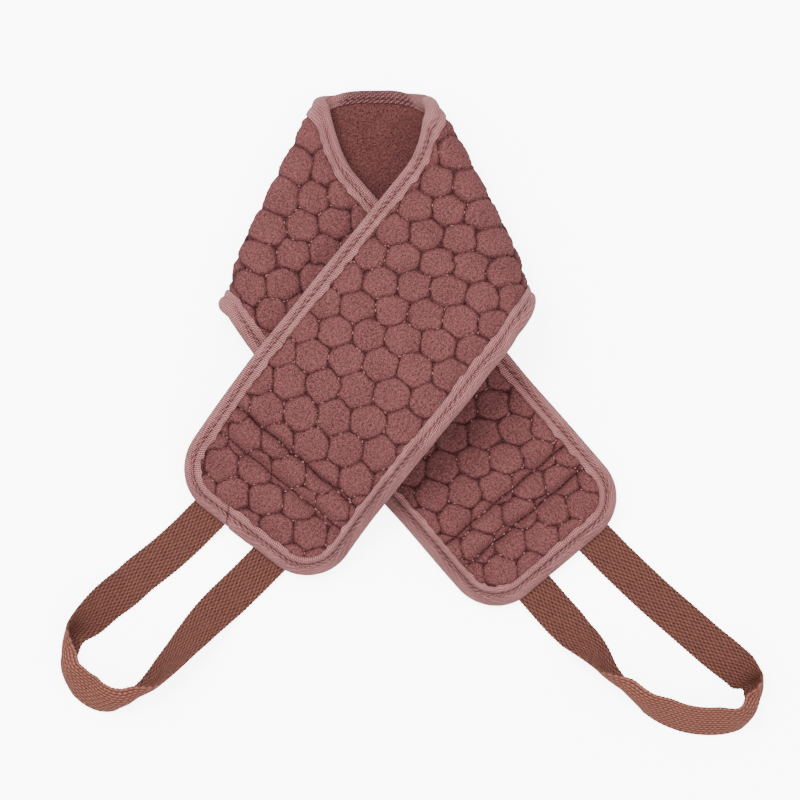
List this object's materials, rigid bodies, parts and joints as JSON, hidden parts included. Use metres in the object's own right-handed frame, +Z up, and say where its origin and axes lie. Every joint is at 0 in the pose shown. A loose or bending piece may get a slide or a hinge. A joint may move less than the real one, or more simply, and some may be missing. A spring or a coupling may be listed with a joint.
{
  "type": "loofah back scrubber",
  "caption": "Quilted terry bath belt for scrubbing the back, bound in tape, with a woven webbing handle sewn into each end, wrapped once on itself and laid down.",
  "frame": {"origin": "on the table under the middle of the whole object's box", "axes": "+Z up from the table, +Y from the handles towards the neck of the wrap, +X to the right as seen from above with the handles nearest"},
  "size_m": [0.4011, 0.3792, 0.0507],
  "materials": {
    "terry": "matt looped terry, quilted in honeycomb cells",
    "lining": "matt brushed terry lining",
    "foam": "soft open-cell padding, hidden",
    "binding": "herringbone tape with a soft sheen",
    "webbing": "coarse woven webbing"
  },
  "bodies": {
    "loop": {"loop_terry_face": "terry", "loop_foam_core": "foam", "loop_lining": "lining", "loop_neck_binding": "binding", "loop_outer_binding": "binding"},
    "front_strip": {"front_terry_face": "terry", "front_foam_core": "foam", "front_lining": "lining", "front_neck_binding": "binding", "front_outer_binding": "binding"},
    "front_end": {"front_end_terry_face": "terry", "front_end_foam_core": "foam", "front_end_lining": "lining", "front_end_binding": "binding", "front_handle_neck_tail": "webbing", "front_handle_outer_tail": "webbing"},
    "front_handle": {"front_handle": "webbing"},
    "under_end": {"under_end_terry_face": "terry", "under_end_foam_core": "foam", "under_end_lining": "lining", "under_end_binding": "binding", "under_handle_neck_tail": "webbing", "under_handle_outer_tail": "webbing"},
    "under_handle": {"under_handle": "webbing"}
  },
  "joints": [
    {"name": "front_strip_lift", "type": "hinge", "parent": "loop", "child": "front_strip", "pos_m": [0.0227, 0.08364, 0.0414], "axis": [-0.25, 0.9599, -0.1271], "range_deg": [0, 60]},
    {"name": "front_end_bend", "type": "hinge", "parent": "front_strip", "child": "front_end", "pos_m": [-0.06274, -0.03052, 0.02947], "axis": [-0.7869, 0.6145, 0.0572], "range_deg": [0, 45]},
    {"name": "front_handle_swing", "type": "hinge", "parent": "front_end", "child": "front_handle", "pos_m": [-0.09813, -0.07629, 0.005], "axis": [-0.7891, 0.6143, 0], "range_deg": [0, 90]},
    {"name": "under_end_bend", "type": "hinge", "parent": "loop", "child": "under_end", "pos_m": [0.05317, -0.05115, 0.0084], "axis": [-0.7627, -0.6468, 0], "range_deg": [0, 45]},
    {"name": "under_handle_swing", "type": "hinge", "parent": "under_end", "child": "under_handle", "pos_m": [0.08764, -0.0918, 0.005], "axis": [-0.7627, -0.6468, 0], "range_deg": [0, 90]}
  ]
}
